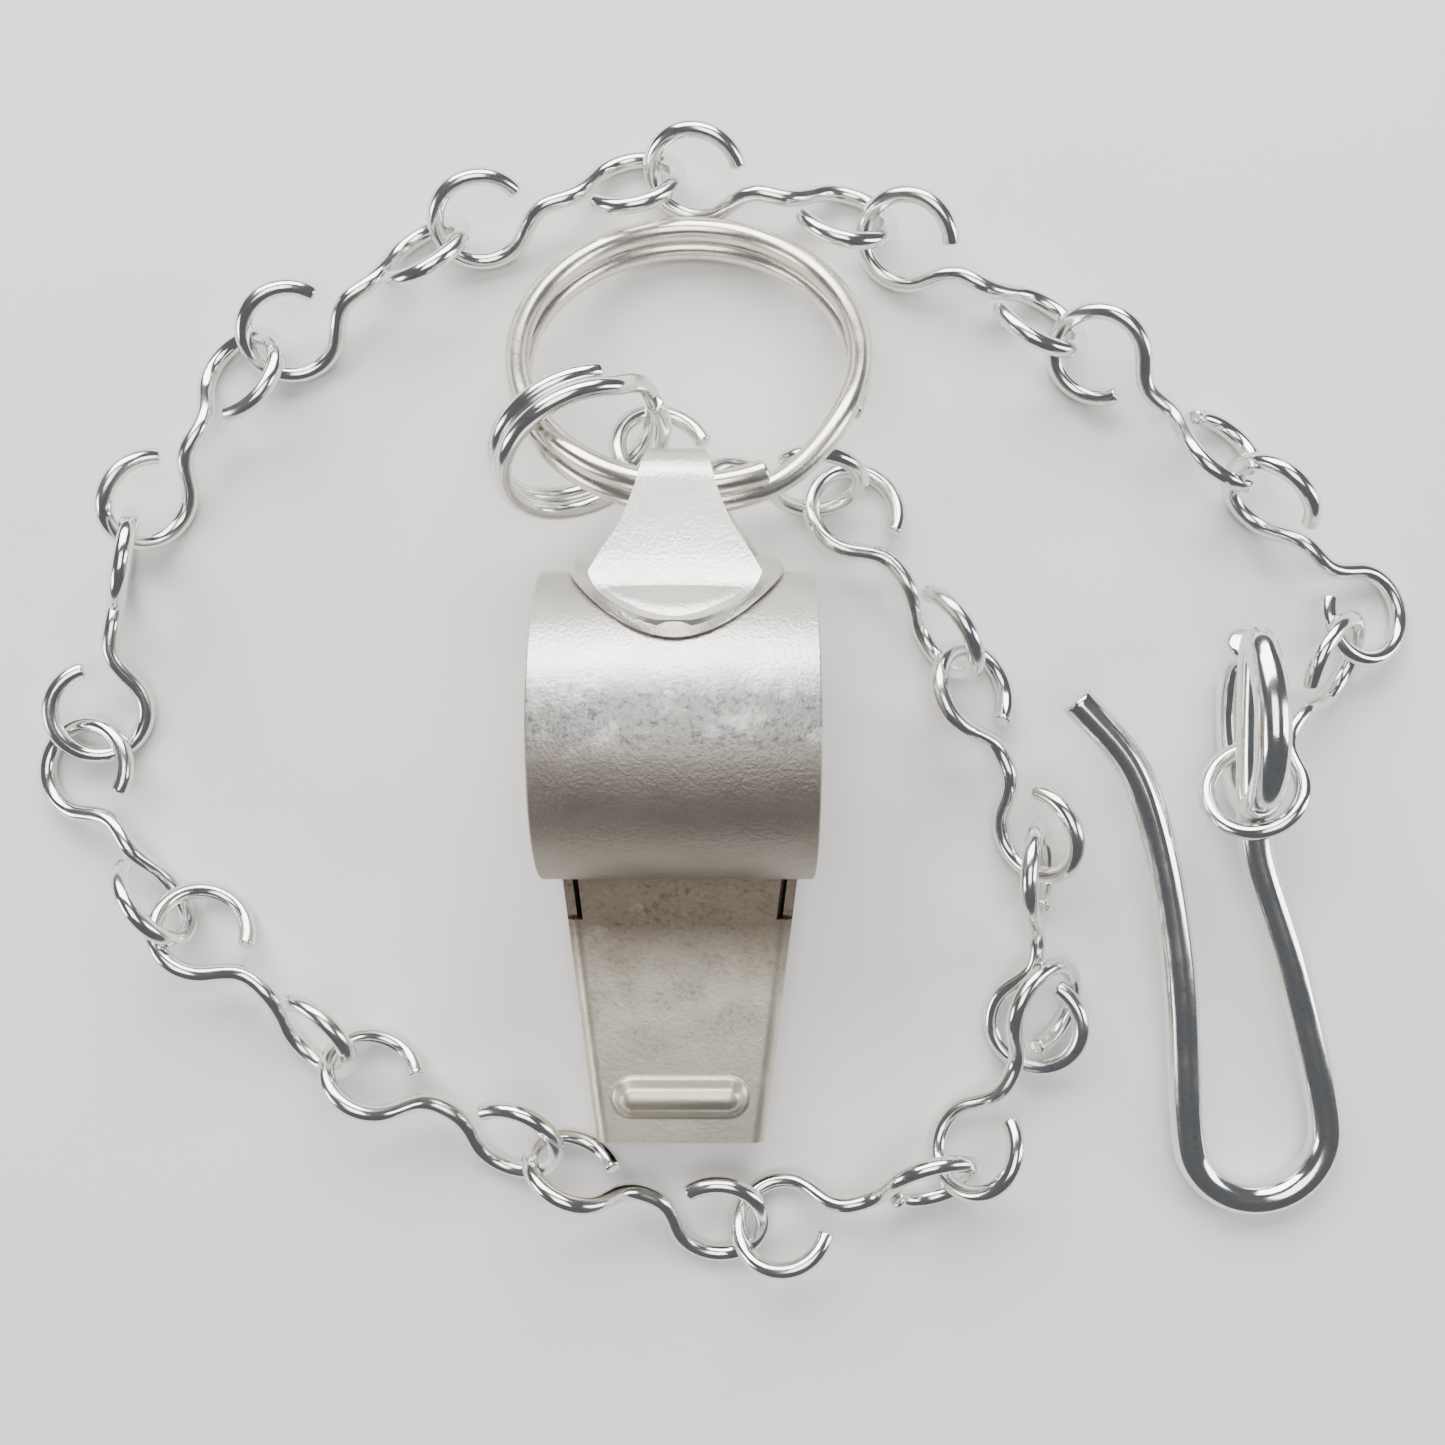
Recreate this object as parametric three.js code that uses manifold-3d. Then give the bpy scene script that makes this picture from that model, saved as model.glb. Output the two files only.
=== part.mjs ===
// Training whistle: a wide-barrel metal pea whistle with a bail, a large and a
// small split ring, a single jack chain of nineteen links and a wire belt hook.
// Millimetres, +Z up. The whistle lies on its windway face at Z = 0 with the
// mouthpiece towards -Y, and the chain lies round it on the same surface.
// The origin is the middle of the footprint, on that surface.

import * as THREE from 'three';
import Module from 'manifold-3d';
import { mergeVertices } from 'three/addons/utils/BufferGeometryUtils.js';

// Whistle shell
const BARREL_RADIUS = 11.4;
const BARREL_WIDTH = 20;
const SHEET = 0.8;
const GAP = 0.3;
const CAP_RECESS = 0.4;
const BARREL_SEGMENTS = 64;
const LABIUM_ANGLE = 262;
const FRONT_ANGLE = 228;

// Mouthpiece
const MOUTH_REACH = 32.8;
const MOUTH_ROOT_WIDTH = 0.925 * BARREL_WIDTH;
const MOUTH_TIP_WIDTH = 0.665 * BARREL_WIDTH;
const MOUTH_ROOT_HEIGHT = 0.66 * BARREL_RADIUS;
const MOUTH_TIP_HEIGHT = 5;
const WINDWAY_MOUTH = 2.4;
const WINDWAY_EXIT = 1.2;
const NOTCH_WIDTH = 1.35;
const NOTCH_LENGTH = 4.3;
const BITE_BAR_WIDTH = 10.4;
const BITE_BAR_DEPTH = 3;
const BITE_BAR_RISE = 1.1;
const BITE_BAR_SETBACK = 3.7;

// Pea
const PEA_RADIUS = 0.4 * (BARREL_RADIUS - SHEET);

// Bail, measured outwards from the barrel's axis
const BAIL_ELEVATION = 12;
const BAIL_NOSE_RADIUS = 3;
const BAIL_REACH = BARREL_RADIUS + 8.9;
const BAIL_SHEET = 0.9;
const BAIL_TIP_HALF_WIDTH = 2.3;
const FLANGE_HALF_WIDTH = 7.8;
const FLANGE_HALF_HEIGHT = 8.6;

// Split rings: wire diameter and the middle of the coil
const LARGE_RING_WIRE = 1.9;
const LARGE_RING_RADIUS = 12.96;
const LARGE_RING_CUT = 318;
const SMALL_RING_WIRE = 1.5;
const SMALL_RING_RADIUS = 6.4;
const SMALL_RING_LEAN = 62;
const SMALL_RING_LEAN_HEADING = -63;
const SMALL_RING_CROSSING = 223.6;
const SMALL_RING_CUT = 60;
const RING_STEPS = 60;

// Jack chain
const CHAIN_WIRE = 1.55;
const LOOP_RADIUS = 3.6;
const LOOP_SPACING = 12.4;
const LINK_STEPS = 30;
const LINK_SIDES = 8;
const LOOP_START = 26;
const LOOP_END = 322;
const LOOP_REACH = 2 * (LOOP_RADIUS - CHAIN_WIRE / 2) - 0.25;
const FIRST_LOOP_HEIGHT = 6.8;

// Belt hook
const HOOK_WIRE = 2.8;
const HOOK_EYE_HALF_LENGTH = 6.6;
const HOOK_EYE_HALF_HEIGHT = 4.7;
const HOOK_BEND_RADIUS = 5.5;
const HOOK_SHANK = 32.2;
const HOOK_HEADING = -87;

// How each link lies: the heading of its axis, its roll about that axis, the
// heading from its far loop to the next link's near loop, and the share of the
// taut distance between those two loops.
const LINKS = [
  { heading: -9, roll: -29, lead: -32, reach: 0.79 },
  { heading: -55, roll: -19, lead: -62, reach: 0.96 },
  { heading: -66, roll: -40, lead: -92, reach: 0.59 },
  { heading: -89, roll: -68, lead: 73, reach: 0.36 },
  { heading: -116, roll: -45, lead: -143, reach: 0.82 },
  { heading: -163, roll: -55, lead: 177, reach: 0.95 },
  { heading: 159, roll: 154, lead: 157, reach: 1 },
  { heading: 154, roll: 141, lead: 147, reach: 1 },
  { heading: 138, roll: 129, lead: 141, reach: 0.81 },
  { heading: 122, roll: 80, lead: 76, reach: 0.88 },
  { heading: 77, roll: 20, lead: 70, reach: 0.96 },
  { heading: 55, roll: 54, lead: 40, reach: 0.97 },
  { heading: 30, roll: 38, lead: 30, reach: 0.97 },
  { heading: 14, roll: 46, lead: 8, reach: 0.93 },
  { heading: -16, roll: 45, lead: -20, reach: 0.97 },
  { heading: -32, roll: 40, lead: -29, reach: 1 },
  { heading: -38, roll: 223, lead: -47, reach: 0.99 },
  { heading: -48, roll: 69, lead: -128, reach: 0.95 },
  { heading: -125, roll: 126 },
];

const wasm = await Module();
wasm.setup();

const satinNickel = { color: 0xb9b6ac, roughness: 0.42, metalness: 1 };
const tarnishedNickel = { color: 0x8d877a, roughness: 0.48, metalness: 1 };
const warmNickel = { color: 0xbfb8a6, roughness: 0.3, metalness: 1 };
const brightChrome = { color: 0xcfcfcc, roughness: 0.16, metalness: 1 };
const cork = { color: 0xb58b5a, roughness: 0.9, metalness: 0 };

const assembly = new THREE.Group();
const whistle = new THREE.Group();
whistle.position.z = BARREL_RADIUS;
assembly.add(whistle);

function radians(degrees) {
  return THREE.MathUtils.degToRad(degrees);
}

function addMesh(parent, name, geometry, finish) {
  const mesh = new THREE.Mesh(geometry, new THREE.MeshStandardMaterial(finish));
  mesh.name = name;
  parent.add(mesh);
  return mesh;
}

// A closed geometry as a manifold-3d solid, and a solid back as a geometry
function solidOf(geometry) {
  const bare = geometry.clone();
  bare.deleteAttribute('normal');
  bare.deleteAttribute('uv');
  const merged = mergeVertices(bare, 1e-4);
  return new wasm.Manifold(new wasm.Mesh({
    numProp: 3,
    vertProperties: new Float32Array(merged.attributes.position.array),
    triVerts: new Uint32Array(merged.index.array),
  }));
}

function geometryOf(solid) {
  const mesh = solid.getMesh();
  const geometry = new THREE.BufferGeometry();
  geometry.setAttribute('position', new THREE.BufferAttribute(mesh.vertProperties, 3));
  geometry.setIndex(new THREE.BufferAttribute(mesh.triVerts, 1));
  geometry.computeVertexNormals();
  return geometry;
}

function shapeOf(points) {
  return new THREE.Shape(points.map(([x, y]) => new THREE.Vector2(x, y)));
}

// A profile drawn in the (Y, Z) plane, made `width` wide along X about X = 0
function acrossX(shape, width) {
  const geometry = new THREE.ExtrudeGeometry(shape, {
    depth: width,
    bevelEnabled: false,
    curveSegments: 24,
  });
  geometry.translate(0, 0, -width / 2);
  geometry.applyMatrix4(new THREE.Matrix4().makeBasis(
    new THREE.Vector3(0, 1, 0),
    new THREE.Vector3(0, 0, 1),
    new THREE.Vector3(1, 0, 0),
  ));
  return geometry;
}

// A plan drawn in the (X, Y) plane, raised between two heights
function upZ(shape, low, high) {
  const geometry = new THREE.ExtrudeGeometry(shape, {
    depth: high - low,
    bevelEnabled: false,
    curveSegments: 16,
  });
  geometry.translate(0, 0, low);
  return geometry;
}

function arcPoints(radius, fromDegrees, toDegrees, steps) {
  const points = [];
  for (let i = 0; i <= steps; i += 1) {
    const angle = radians(fromDegrees + ((toDegrees - fromDegrees) * i) / steps);
    points.push([radius * Math.cos(angle), radius * Math.sin(angle)]);
  }
  return points;
}

function cylinderX(radius, width, segments) {
  const geometry = new THREE.CylinderGeometry(radius, radius, width, segments);
  geometry.rotateZ(Math.PI / 2);
  return geometry;
}

// Round wire along a curve
function wireAlong(points, diameter, steps, sides) {
  const section = shapeOf(arcPoints(diameter / 2, 0, 360 - 360 / sides, sides - 1));
  const path = new THREE.CatmullRomCurve3(points, false, 'centripetal');
  path.arcLengthDivisions = 800;
  return new THREE.ExtrudeGeometry(section, {
    steps,
    bevelEnabled: false,
    extrudePath: path,
  });
}

// ---- Barrel -------------------------------------------------------------

const sweep = LABIUM_ANGLE - 360;
const bandSteps = Math.round((BARREL_SEGMENTS * (FRONT_ANGLE - sweep)) / 360);
const bandShape = shapeOf([
  ...arcPoints(BARREL_RADIUS, sweep, FRONT_ANGLE, bandSteps),
  ...arcPoints(BARREL_RADIUS - SHEET, sweep, FRONT_ANGLE, bandSteps).reverse(),
]);
addMesh(whistle, 'barrel_band', acrossX(bandShape, BARREL_WIDTH), satinNickel);

const capRadius = BARREL_RADIUS - SHEET - GAP;
const capOffset = BARREL_WIDTH / 2 - CAP_RECESS - SHEET / 2;
for (const [name, side] of [['left_end_plate', -1], ['right_end_plate', 1]]) {
  const cap = addMesh(whistle, name, cylinderX(capRadius, SHEET, 56), satinNickel);
  cap.position.x = side * capOffset;
}

const pea = addMesh(
  whistle,
  'pea',
  new THREE.IcosahedronGeometry(PEA_RADIUS, 3),
  cork,
);
pea.position.z = -(BARREL_RADIUS - SHEET - GAP - PEA_RADIUS);

// ---- Mouthpiece ---------------------------------------------------------

// Heights here are measured from the windway face, as the box is in a group
// whose own origin lies on that face.
const mouthpiece = new THREE.Group();
mouthpiece.position.z = -BARREL_RADIUS;
whistle.add(mouthpiece);

const rootY = -Math.sqrt(BARREL_RADIUS ** 2 - (BARREL_RADIUS - MOUTH_ROOT_HEIGHT) ** 2);
const taper = (MOUTH_ROOT_WIDTH - MOUTH_TIP_WIDTH) / 2 / (MOUTH_REACH + rootY);
const slope = (MOUTH_ROOT_HEIGHT - MOUTH_TIP_HEIGHT) / (MOUTH_REACH + rootY);
const windowY = (BARREL_RADIUS - SHEET) * Math.cos(radians(FRONT_ANGLE));

function halfWidthAt(y) {
  return MOUTH_TIP_WIDTH / 2 + taper * (y + MOUTH_REACH);
}

function topAt(y) {
  return MOUTH_TIP_HEIGHT + slope * (y + MOUTH_REACH);
}

function planBetween(y0, y1, inset) {
  return shapeOf([
    [-halfWidthAt(y0) + inset, y0],
    [halfWidthAt(y0) - inset, y0],
    [halfWidthAt(y1) - inset, y1],
    [-halfWidthAt(y1) + inset, y1],
  ]);
}

const barrelClearance = solidOf(
  cylinderX(BARREL_RADIUS + GAP, 2 * BARREL_WIDTH, 96).translate(0, 0, BARREL_RADIUS),
);

// The windway plate is the face that the whistle rests on.
addMesh(
  mouthpiece,
  'windway_plate',
  upZ(planBetween(-MOUTH_REACH, windowY, 0), 0, SHEET),
  satinNickel,
);

// Side cheeks stand on the windway plate and stop at the barrel.
const cheekBase = SHEET + GAP;
const cheekProfile = shapeOf([
  [-MOUTH_REACH, cheekBase],
  [0, cheekBase],
  [0, topAt(0) - SHEET - GAP],
  [-MOUTH_REACH, topAt(-MOUTH_REACH) - SHEET - GAP],
]);
const cheekSlab = solidOf(acrossX(cheekProfile, 2 * BARREL_WIDTH)).subtract(barrelClearance);
for (const [name, side] of [['left_cheek', -1], ['right_cheek', 1]]) {
  const outer = (y) => side * halfWidthAt(y);
  const inner = (y) => side * (halfWidthAt(y) - SHEET);
  const corners = [
    [inner(-MOUTH_REACH), -MOUTH_REACH],
    [outer(-MOUTH_REACH), -MOUTH_REACH],
    [outer(0), 0],
    [inner(0), 0],
  ];
  const plan = solidOf(upZ(shapeOf(side > 0 ? corners : corners.reverse()), -1, 20));
  addMesh(mouthpiece, name, geometryOf(cheekSlab.intersect(plan)), satinNickel);
}

// The underside plate closes the mouthpiece, with a rounded notch at each
// corner by the barrel and a pressed bite bar near the tip.
const plateProfile = shapeOf([
  [-MOUTH_REACH, topAt(-MOUTH_REACH) - SHEET],
  [0, topAt(0) - SHEET],
  [0, topAt(0)],
  [-MOUTH_REACH, topAt(-MOUTH_REACH)],
]);
let underside = solidOf(acrossX(plateProfile, 2 * BARREL_WIDTH))
  .intersect(solidOf(upZ(planBetween(-MOUTH_REACH, 0, 0), -1, 20)))
  .subtract(barrelClearance);
const notchEnd = rootY - NOTCH_LENGTH;
for (const side of [-1, 1]) {
  const edge = halfWidthAt(notchEnd);
  const notch = new THREE.Shape();
  notch.moveTo(edge - NOTCH_WIDTH, 0);
  notch.lineTo(edge - NOTCH_WIDTH, notchEnd + NOTCH_WIDTH / 2);
  notch.quadraticCurveTo(edge - NOTCH_WIDTH, notchEnd, edge - NOTCH_WIDTH / 2, notchEnd);
  notch.lineTo(edge + 4, notchEnd);
  notch.lineTo(edge + 4, 0);
  const cutter = upZ(notch, -1, 20);
  if (side < 0) cutter.rotateY(Math.PI).translate(0, 0, 19);
  underside = underside.subtract(solidOf(cutter));
}
const biteBar = new THREE.CapsuleGeometry(
  BITE_BAR_DEPTH / 2,
  BITE_BAR_WIDTH - BITE_BAR_DEPTH,
  5,
  16,
);
biteBar.rotateZ(Math.PI / 2);
biteBar.scale(1, 1, (2 * (BITE_BAR_RISE + SHEET / 2)) / BITE_BAR_DEPTH);
const biteBarY = -MOUTH_REACH + BITE_BAR_SETBACK;
biteBar.rotateX(Math.atan(slope));
biteBar.translate(0, biteBarY, topAt(biteBarY) - SHEET / 2);
const aboveInnerFace = solidOf(acrossX(shapeOf([
  [-MOUTH_REACH - 5, topAt(-MOUTH_REACH - 5) - SHEET],
  [0, topAt(0) - SHEET],
  [0, 40],
  [-MOUTH_REACH - 5, 40],
]), 2 * BARREL_WIDTH));
underside = underside.add(solidOf(biteBar).intersect(aboveInnerFace));
addMesh(mouthpiece, 'mouth_underside', geometryOf(underside), tarnishedNickel);

// The windway floor is a tongue between the cheeks that narrows the windway
// towards the window.
const tongueFront = -MOUTH_REACH + 0.6;
const tongueBack = windowY - 0.2;
const tongueProfile = shapeOf([
  [tongueFront, SHEET + WINDWAY_MOUTH],
  [tongueBack, SHEET + WINDWAY_EXIT],
  [tongueBack, SHEET + WINDWAY_EXIT + 0.6],
  [tongueFront, SHEET + WINDWAY_MOUTH + 0.6],
]);
const tongue = solidOf(acrossX(tongueProfile, 2 * BARREL_WIDTH))
  .intersect(solidOf(upZ(planBetween(-MOUTH_REACH, 0, SHEET + GAP), -1, 20)))
  .subtract(barrelClearance);
addMesh(mouthpiece, 'windway_tongue', geometryOf(tongue), satinNickel);

// ---- Bail ---------------------------------------------------------------

// Drawn with Y outwards from the barrel's axis and Z across the strip. The
// strip leaves the flange, runs out, turns round the nose and comes back.
const bailSeat = BARREL_RADIUS + GAP;
const flangeOuter = bailSeat + SHEET;
const noseCentre = BAIL_REACH - BAIL_NOSE_RADIUS;

function bailOutline(inset) {
  const half = [
    new THREE.Vector3(0.55 * BARREL_RADIUS, flangeOuter * 0.9 - inset, 0),
    new THREE.Vector3(0.78 * BARREL_RADIUS, flangeOuter * 0.71 - inset, 0),
    new THREE.Vector3(BARREL_RADIUS, flangeOuter * 0.5 - inset, 0),
    new THREE.Vector3((BARREL_RADIUS + noseCentre) / 2, BAIL_NOSE_RADIUS + 1.3 - inset, 0),
    new THREE.Vector3(noseCentre, BAIL_NOSE_RADIUS - inset, 0),
  ];
  const leg = new THREE.CatmullRomCurve3(half, false, 'centripetal')
    .getPoints(14)
    .map((p) => [p.x, p.y]);
  const nose = arcPoints(BAIL_NOSE_RADIUS - inset, 90, -90, 14)
    .map(([a, b]) => [noseCentre + a, b]);
  const back = leg.map(([a, b]) => [a, -b]).reverse();
  return [...leg, ...nose.slice(1, -1), ...back];
}

const outerLoop = solidOf(acrossX(shapeOf(bailOutline(0).reverse()), 2 * BARREL_WIDTH));
const innerLoop = solidOf(acrossX(shapeOf(bailOutline(BAIL_SHEET).reverse()), 3 * BARREL_WIDTH));
const bellSide = new THREE.CatmullRomCurve3([
  new THREE.Vector3(0.75 * FLANGE_HALF_WIDTH, 0, 0),
  new THREE.Vector3(0.95 * FLANGE_HALF_WIDTH, 0.8 * BARREL_RADIUS, 0),
  new THREE.Vector3(0.72 * FLANGE_HALF_WIDTH, BARREL_RADIUS + 1.4, 0),
  new THREE.Vector3(0.5 * FLANGE_HALF_WIDTH, (BARREL_RADIUS + BAIL_REACH) / 2 - 0.4, 0),
  new THREE.Vector3(BAIL_TIP_HALF_WIDTH + 0.5, BAIL_REACH - 2.2, 0),
  new THREE.Vector3(BAIL_TIP_HALF_WIDTH, BAIL_REACH - 0.5, 0),
  new THREE.Vector3(BAIL_TIP_HALF_WIDTH * 0.6, BAIL_REACH + 0.2, 0),
], false, 'centripetal').getPoints(22).map((p) => [p.x, p.y]);
const saddle = [0, BAIL_REACH - 0.35];
const bellPlan = shapeOf([
  ...bellSide,
  saddle,
  ...bellSide.map(([a, b]) => [-a, b]).reverse(),
]);
const strip = outerLoop
  .subtract(innerLoop)
  .intersect(solidOf(upZ(bellPlan, -2 * BARREL_RADIUS, 2 * BARREL_RADIUS)));
const flangeShell = solidOf(cylinderX(flangeOuter, 2 * BARREL_WIDTH, 96));
const flangeOval = new THREE.CylinderGeometry(1, 1, 2 * BARREL_RADIUS, 48);
flangeOval.scale(FLANGE_HALF_WIDTH, 1, FLANGE_HALF_HEIGHT);
flangeOval.translate(0, BARREL_RADIUS, 0);
const seatClearance = solidOf(cylinderX(bailSeat, 3 * BARREL_WIDTH, 96));
const bail = flangeShell
  .intersect(solidOf(flangeOval))
  .add(strip)
  .subtract(seatClearance);
const bailMesh = addMesh(whistle, 'ring_bail', geometryOf(bail), satinNickel);
bailMesh.rotation.x = radians(BAIL_ELEVATION);

// ---- Split rings --------------------------------------------------------

// A double coil in the (X, Y) plane that steps from one turn to the other
// between its two cut ends.
function splitRing(radius, wire) {
  const pitch = wire + 0.06;
  const stepHalf = 22;
  const points = [];
  for (let angle = stepHalf; angle <= 720 - stepHalf; angle += 4) {
    const along = THREE.MathUtils.smoothstep(angle, 360 - stepHalf, 360 + stepHalf);
    points.push(new THREE.Vector3(
      radius * Math.cos(radians(angle)),
      radius * Math.sin(radians(angle)),
      pitch * (along - 0.5),
    ));
  }
  return wireAlong(points, wire, RING_STEPS, 8);
}

// The large ring hangs in the bail's eye and rests on the surface opposite.
const eyeDistance = noseCentre + BAIL_NOSE_RADIUS - BAIL_SHEET - 2.35;
const elevation = radians(BAIL_ELEVATION);
const eye = new THREE.Vector3(
  0,
  eyeDistance * Math.cos(elevation),
  BARREL_RADIUS + eyeDistance * Math.sin(elevation),
);
const largeLean = Math.asin((eye.z - LARGE_RING_WIRE - 0.03) / (2 * LARGE_RING_RADIUS));
const largeCentre = new THREE.Vector3(
  0.75,
  eye.y + LARGE_RING_RADIUS * Math.cos(largeLean),
  eye.z - LARGE_RING_RADIUS * Math.sin(largeLean),
);
const largeRing = addMesh(
  assembly,
  'large_split_ring',
  splitRing(LARGE_RING_RADIUS, LARGE_RING_WIRE),
  warmNickel,
);
largeRing.position.copy(largeCentre);
largeRing.rotation.set(-largeLean, 0, radians(LARGE_RING_CUT), 'XYZ');

// The small ring is threaded on the large ring, links it with the chain and
// leans on it. The large ring's coil runs through it just beside its middle.
const smallLean = radians(SMALL_RING_LEAN);
const crossing = new THREE.Vector3(LARGE_RING_RADIUS - 0.26 * SMALL_RING_RADIUS, 0, 0)
  .applyAxisAngle(new THREE.Vector3(0, 0, 1), radians(SMALL_RING_CROSSING))
  .applyAxisAngle(new THREE.Vector3(1, 0, 0), -largeLean);
const smallCentre = largeCentre.clone().add(crossing);
smallCentre.z -= 0.36 * SMALL_RING_RADIUS;
const smallDown = new THREE.Vector3(
  Math.cos(radians(SMALL_RING_LEAN_HEADING)),
  Math.sin(radians(SMALL_RING_LEAN_HEADING)),
  0,
);
const smallAxis = smallDown.clone()
  .multiplyScalar(Math.sin(smallLean))
  .add(new THREE.Vector3(0, 0, Math.cos(smallLean)));
const smallRing = addMesh(
  assembly,
  'small_split_ring',
  splitRing(SMALL_RING_RADIUS, SMALL_RING_WIRE),
  brightChrome,
);
smallRing.position.copy(smallCentre);
smallRing.quaternion
  .setFromUnitVectors(new THREE.Vector3(0, 0, 1), smallAxis)
  .multiply(new THREE.Quaternion().setFromAxisAngle(
    new THREE.Vector3(0, 0, 1),
    radians(SMALL_RING_CUT),
  ));

// ---- Jack chain ---------------------------------------------------------

// One link along X: the near loop at -X lies in the (X, Y) plane, and the far
// loop at +X is turned a right angle about X. Each loop opens beside the shank.
const nearLoop = [];
for (let angle = LOOP_START; angle <= LOOP_END; angle += 8) {
  nearLoop.push(new THREE.Vector3(
    -LOOP_SPACING / 2 + LOOP_RADIUS * Math.cos(radians(angle)),
    LOOP_RADIUS * Math.sin(radians(angle)),
    0,
  ));
}
const leave = radians(LOOP_END);
const loopExit = new THREE.Vector3(
  -LOOP_SPACING / 2 + LOOP_RADIUS * Math.cos(leave),
  LOOP_RADIUS * Math.sin(leave),
  0,
);
const bend = 0.14 * LOOP_SPACING;
const shankCurve = new THREE.CubicBezierCurve3(
  loopExit,
  loopExit.clone().add(new THREE.Vector3(-Math.sin(leave) * bend, Math.cos(leave) * bend, 0)),
  new THREE.Vector3(-bend, 0, 0),
  new THREE.Vector3(0, 0, 0),
);
const nearHalf = [...nearLoop.slice(0, -1), ...shankCurve.getPoints(5)];
const farHalf = nearHalf
  .slice(0, -1)
  .reverse()
  .map((p) => new THREE.Vector3(-p.x, 0, p.y));
const linkPath = [...nearHalf, ...farHalf];
const linkGeometry = wireAlong(linkPath, CHAIN_WIRE, LINK_STEPS, LINK_SIDES);

// Heights of the two loop centres when both loops touch the surface
function restingHeights(roll) {
  const nearLift = Math.abs(Math.sin(roll));
  const farLift = Math.abs(Math.cos(roll));
  let pitch = 0;
  let near = 0;
  let far = 0;
  for (let i = 0; i < 8; i += 1) {
    const level = Math.cos(pitch);
    near = CHAIN_WIRE / 2 + LOOP_RADIUS * Math.hypot(Math.sin(pitch), nearLift * level);
    far = CHAIN_WIRE / 2 + LOOP_RADIUS * Math.hypot(Math.sin(pitch), farLift * level);
    pitch = Math.asin((far - near) / LOOP_SPACING);
  }
  return { near, far };
}

// The horizontal run of a sloping length between two heights
function runOf(length, rise) {
  return Math.sqrt(Math.max(length * length - rise * rise, 0));
}

function headingVector(degrees) {
  return new THREE.Vector3(Math.cos(radians(degrees)), Math.sin(radians(degrees)), 0);
}

const hookEyeHeight = HOOK_EYE_HALF_HEIGHT + HOOK_WIRE / 2;
const lastLoopHeight = hookEyeHeight - 0.3;
const heights = LINKS.map(({ roll }) => restingHeights(radians(roll)));
heights[0].near = FIRST_LOOP_HEIGHT;
heights[heights.length - 1].far = lastLoopHeight;

const nearCentre = smallCentre.clone().add(
  headingVector(0).multiplyScalar(0.96 * SMALL_RING_RADIUS),
);
nearCentre.z = FIRST_LOOP_HEIGHT;
const chain = LINKS.map((lie, index) => {
  const { near, far } = heights[index];
  const run = headingVector(lie.heading).multiplyScalar(runOf(LOOP_SPACING, far - near));
  const farCentre = nearCentre.clone().add(run);
  farCentre.z = far;
  const along = farCentre.clone().sub(nearCentre).normalize();
  const level = new THREE.Vector3(0, 0, 1).cross(along).normalize();
  const upright = along.clone().cross(level);
  const link = addMesh(
    assembly,
    `chain_link_${String(index + 1).padStart(2, '0')}`,
    linkGeometry.clone(),
    brightChrome,
  );
  link.quaternion
    .setFromRotationMatrix(new THREE.Matrix4().makeBasis(along, level, upright))
    .multiply(new THREE.Quaternion().setFromAxisAngle(
      new THREE.Vector3(1, 0, 0),
      radians(lie.roll),
    ));
  link.position.copy(nearCentre).add(farCentre).multiplyScalar(0.5);
  const ends = { near: nearCentre.clone(), far: farCentre };
  if (index + 1 < LINKS.length) {
    const rise = heights[index + 1].near - far;
    const step = headingVector(lie.lead).multiplyScalar(runOf(lie.reach * LOOP_REACH, rise));
    nearCentre.copy(farCentre).add(step);
    nearCentre.z = heights[index + 1].near;
  }
  return ends;
});

// ---- Belt hook ----------------------------------------------------------

// Drawn in the (X, Y) plane with the eye at the origin and the shank towards
// +X; the eye itself stands in the (X, Z) plane.
const eyePoints = [];
for (let angle = 200; angle <= 520; angle += 20) {
  eyePoints.push(new THREE.Vector3(
    -HOOK_EYE_HALF_LENGTH * Math.cos(radians(angle - 180)),
    0,
    HOOK_EYE_HALF_HEIGHT * Math.sin(radians(angle - 180)),
  ));
}
const bendX = HOOK_EYE_HALF_LENGTH + HOOK_SHANK - HOOK_BEND_RADIUS;
const hookBend = arcPoints(HOOK_BEND_RADIUS, 90, -90, 8)
  .map(([a, b]) => new THREE.Vector3(bendX + a, b, 0));
const gape = HOOK_BEND_RADIUS;
const hookPoints = [
  new THREE.Vector3(HOOK_EYE_HALF_LENGTH + 3.4, 0.2, 0),
  new THREE.Vector3(HOOK_EYE_HALF_LENGTH + 0.42 * HOOK_SHANK, 0.55 * gape, 0),
  ...hookBend,
  new THREE.Vector3(bendX - 0.45 * HOOK_SHANK, -1.1 * gape, 0),
  new THREE.Vector3(HOOK_EYE_HALF_LENGTH + 1.5, -1.4 * gape, 0),
  new THREE.Vector3(HOOK_EYE_HALF_LENGTH - 4, -1.75 * gape, 0),
  new THREE.Vector3(-2.6, -2.5 * gape, 0),
];
const hook = addMesh(
  assembly,
  'belt_hook',
  new THREE.BoxGeometry(1, 1, 1),
  brightChrome,
);
const closing = new THREE.Vector3(HOOK_EYE_HALF_LENGTH - 0.1, 0, 0.2);
hook.geometry = wireAlong(
  [...eyePoints.reverse(), closing, ...hookPoints],
  HOOK_WIRE,
  70,
  8,
);
const hookPitch = Math.asin((hookEyeHeight - HOOK_WIRE / 2) / (bendX + HOOK_BEND_RADIUS));
const lastFar = chain[chain.length - 1].far;
const hookAlong = headingVector(HOOK_HEADING);
const eyeEnd = HOOK_EYE_HALF_LENGTH - 1.4;
const hookCentre = lastFar.clone().sub(hookAlong.clone().multiplyScalar(eyeEnd));
hookCentre.z = hookEyeHeight;
hook.position.copy(hookCentre);
hook.rotation.set(0, hookPitch, radians(HOOK_HEADING), 'ZYX');

// ---- Origin: the middle of the footprint, on the surface ------------------

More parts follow.
